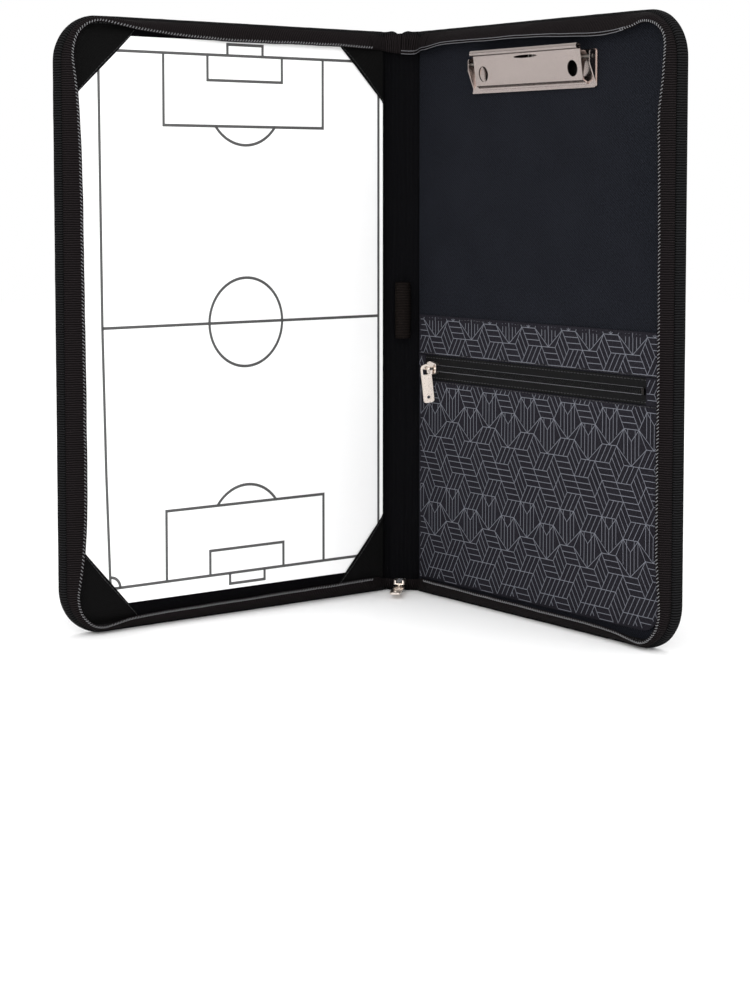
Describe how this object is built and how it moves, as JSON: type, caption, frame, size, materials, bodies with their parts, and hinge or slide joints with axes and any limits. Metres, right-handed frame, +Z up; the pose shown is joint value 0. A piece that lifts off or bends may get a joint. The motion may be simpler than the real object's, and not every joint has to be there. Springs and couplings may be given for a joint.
{
  "type": "tactics folder",
  "caption": "Zip-round tactics folder standing open like a book, with a pitch board under corner pockets, a sprung board clip, a zipped pocket and a pen loop on a soft spine",
  "frame": {"origin": "centre of the footprint, on the plane that the folder stands on", "axes": "X to the right and Z up as seen by someone in front of the open folder, Y from them towards the spine"},
  "size_m": [0.3472, 0.2004, 0.35],
  "materials": {
    "cover_fabric": "plain-weave coated polyester, matte",
    "binding": "ribbed grosgrain tape, matte",
    "lining": "fine twill lining, matte",
    "printed_lining": "lining with a grey line print, matte",
    "padding": "thin foam and wadding, hidden",
    "stiffener": "bare fibreboard, hidden",
    "zip_tape": "knitted zip tape, matte",
    "zip_coil": "black nylon coil, satin",
    "board_film": "dry-wipe film over white board, with printed lines",
    "webbing": "woven webbing, satin",
    "badge": "heat-transfer film, satin",
    "nickel": "bright nickel plate over pressed steel and die-cast zinc",
    "spring_steel": "oiled spring wire and pin",
    "elastic": "ribbed woven elastic, matte"
  },
  "bodies": {
    "back_cover": {"back_outer_panel": "cover_fabric", "back_padding": "padding", "back_stiffener": "stiffener", "back_lining": "lining", "back_binding": "binding", "back_gusset": "zip_tape", "back_zip_coil": "zip_coil", "pocket_panel": "printed_lining", "pocket_top_band": "printed_lining", "pocket_zip_tape_lower": "zip_tape", "pocket_zip_tape_upper": "zip_tape", "pocket_zip_coil": "zip_coil", "pocket_zip_stop_fold": "nickel", "pocket_zip_stop_outer": "nickel", "clip_base": "nickel", "clip_hinge_pin": "spring_steel", "clip_spring": "spring_steel", "clip_rivet_1": "nickel", "clip_rivet_2": "nickel"},
    "spine": {"spine_outer_panel": "cover_fabric", "spine_padding": "padding", "spine_lining": "lining", "spine_binding_bottom": "binding", "spine_binding_top": "binding", "zip_tail_bottom": "zip_tape", "zip_tail_top": "zip_tape", "pen_loop": "elastic", "main_zip_end": "zip_coil", "main_zip_slider": "nickel"},
    "front_cover": {"front_outer_panel": "cover_fabric", "front_padding": "padding", "front_stiffener": "stiffener", "front_lining": "lining", "front_binding": "binding", "front_gusset": "zip_tape", "front_zip_coil": "zip_coil", "tactics_board": "board_film", "corner_pocket_spine_bottom": "cover_fabric", "corner_pocket_spine_top": "cover_fabric", "corner_pocket_outer_bottom": "cover_fabric", "corner_pocket_outer_top": "cover_fabric", "narrow_tape": "webbing", "woven_band": "webbing", "front_badge": "badge"},
    "clip_lever": {"clip_lever": "nickel"},
    "pocket_slider": {"pocket_zip_slider": "nickel"},
    "pocket_puller": {"pocket_zip_puller": "nickel"},
    "main_puller": {"main_zip_puller": "nickel"}
  },
  "joints": [
    {"name": "back_fold", "type": "hinge", "parent": "back_cover", "child": "spine", "pos_m": [0.03448, 0.09268, 0.175], "axis": [0, 0, 1], "range_deg": [-46.3, 43.7]},
    {"name": "front_fold", "type": "hinge", "parent": "spine", "child": "front_cover", "pos_m": [0.0107, 0.09589, 0.175], "axis": [0, 0, 1], "range_deg": [-46.3, 43.7]},
    {"name": "clip_lever_hinge", "type": "hinge", "parent": "back_cover", "child": "clip_lever", "pos_m": [0.09502, -0.00425, 0.3268], "axis": [0.5878, -0.809, 0], "range_deg": [-30, 0], "stiffness_Nm_per_rad": 0.15, "springref_deg": 24.98},
    {"name": "pocket_zip_slide", "type": "slide", "parent": "back_cover", "child": "pocket_slider", "axis": [0.5878, -0.809, 0], "range_m": [0, 0.1826]},
    {"name": "pocket_puller_hinge", "type": "hinge", "parent": "pocket_slider", "child": "pocket_puller", "pos_m": [0.03675, 0.06812, 0.1425], "axis": [0.5878, -0.809, 0], "range_deg": [-150, 0]},
    {"name": "main_puller_swing", "type": "hinge", "parent": "spine", "child": "main_puller", "pos_m": [0.02067, 0.08007, 0.0038], "axis": [0, 0, 1], "range_deg": [-50, 0]}
  ]
}
